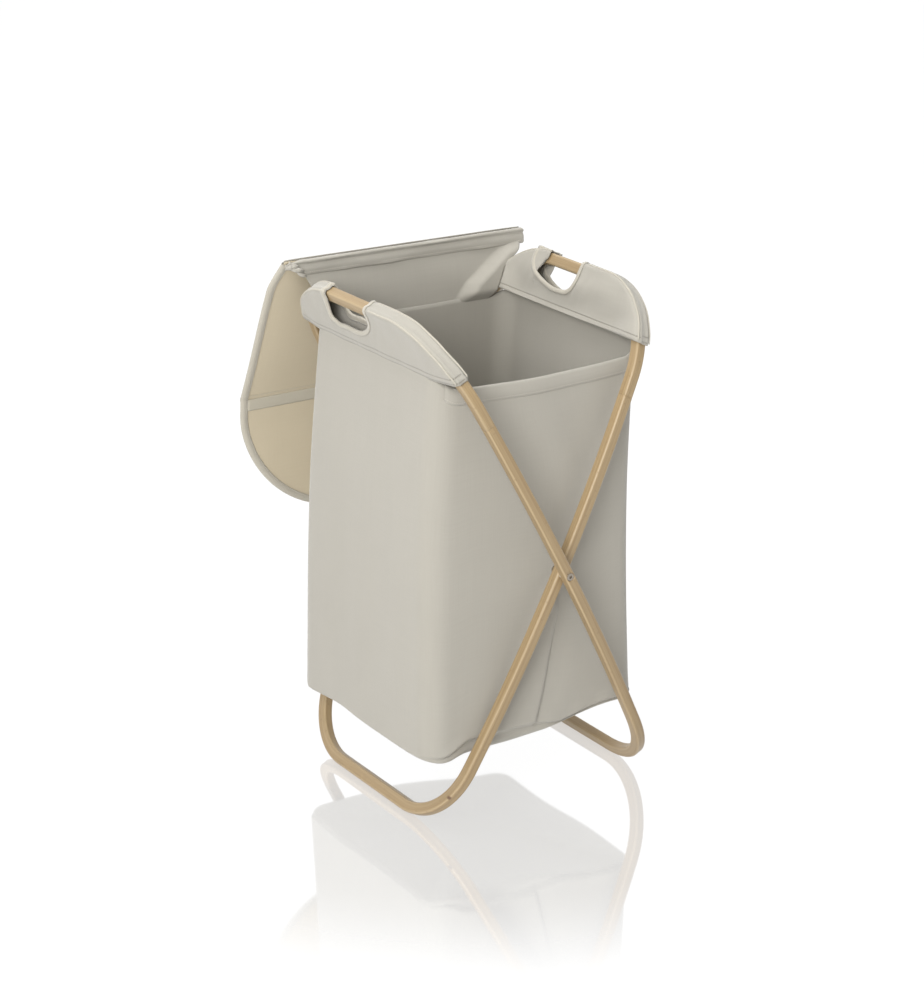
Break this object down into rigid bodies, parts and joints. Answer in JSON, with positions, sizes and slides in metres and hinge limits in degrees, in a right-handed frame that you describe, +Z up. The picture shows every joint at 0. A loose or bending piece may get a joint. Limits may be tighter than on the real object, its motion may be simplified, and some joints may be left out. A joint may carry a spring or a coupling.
{
  "type": "folding laundry hamper",
  "caption": "Folding laundry hamper: open fabric bag hung between two crossed bentwood loops, with hand holes over the top bars and a fabric lid hanging open at the back.",
  "frame": {"origin": "on the floor, midway between the two floor bars and under the middle of the crossing", "axes": "+Z up; X across the crossing, from the floor bar of the inner loop (-X) to that of the outer loop (+X); -Y towards the open front, where the crossing is seen; +Y towards the lid"},
  "size_m": [0.3678, 0.4894, 0.6572],
  "materials": {
    "bamboo": "matt clear lacquer",
    "hardware": "satin",
    "washer": "matt",
    "bag_cloth": "plain weave",
    "lining_cloth": "plain weave",
    "binding_cloth": "folded tape",
    "felt": "non-woven"
  },
  "bodies": {
    "inner_frame": {"inner_loop_lower": "bamboo", "inner_loop_upper": "bamboo", "pivot_bolts": "hardware", "pivot_nuts": "hardware", "pivot_washers": "washer", "right_sleeve_inner_layer": "bag_cloth", "right_sleeve_outer_layer": "bag_cloth", "right_sleeve_front_strip": "bag_cloth", "right_sleeve_back_strip": "bag_cloth", "right_hand_hole_binding": "binding_cloth"},
    "outer_frame": {"outer_loop_lower": "bamboo", "outer_loop_upper": "bamboo", "left_sleeve_inner_layer": "bag_cloth", "left_sleeve_outer_layer": "bag_cloth", "left_sleeve_front_strip": "bag_cloth", "left_sleeve_back_strip": "bag_cloth", "left_hand_hole_binding": "binding_cloth"},
    "right_wall": {"right_side_panel": "bag_cloth"},
    "left_wall": {"left_side_panel": "bag_cloth"},
    "bag": {"front_panel": "bag_cloth", "back_panel": "bag_cloth", "bottom_panel": "bag_cloth", "front_rim_hem": "binding_cloth", "back_riser": "bag_cloth", "lid_ridge": "bag_cloth"},
    "lid": {"lid_cover": "bag_cloth", "lid_lining": "lining_cloth", "lid_interlining": "felt", "lid_binding": "binding_cloth"},
    "flap": {"flap_cover": "bag_cloth", "flap_lining": "lining_cloth", "flap_binding": "binding_cloth"}
  },
  "joints": [
    {"name": "fold", "type": "hinge", "parent": "inner_frame", "child": "outer_frame", "pos_m": [0, 0, 0.31906], "axis": [0, 1, 0], "range_deg": [0, 47], "deforming": ["front_panel", "back_panel", "bottom_panel", "front_rim_hem", "back_riser", "lid_ridge", "lid_cover", "lid_lining", "lid_interlining", "lid_binding", "flap_cover", "flap_lining", "flap_binding"]},
    {"name": "right_seam", "type": "hinge", "parent": "inner_frame", "child": "right_wall", "pos_m": [0.146, 0, 0.5753], "axis": [0, 1, 0], "range_deg": [0, 23.6]},
    {"name": "left_seam", "type": "hinge", "parent": "outer_frame", "child": "left_wall", "pos_m": [-0.146, 0, 0.5753], "axis": [0, 1, 0], "range_deg": [-23.6, 0]},
    {"name": "bag_centring", "type": "slide", "parent": "right_wall", "child": "bag", "axis": [1, 0, 0], "range_m": [0, 0.1144]},
    {"name": "lid_hinge", "type": "hinge", "parent": "bag", "child": "lid", "pos_m": [0, 0.1685, 0.657], "axis": [1, 0, 0], "range_deg": [0, 238]},
    {"name": "flap_fold", "type": "hinge", "parent": "lid", "child": "flap", "pos_m": [0, 0.27883, 0.44951], "axis": [1, 0, 0], "range_deg": [0, 28]}
  ],
  "couplings": [
    {"joint": "right_seam", "follows": "fold", "ratio": 0.5},
    {"joint": "left_seam", "follows": "fold", "ratio": -0.5},
    {"joint": "bag_centring", "follows": "fold", "m_per_rad": 0.13922}
  ]
}
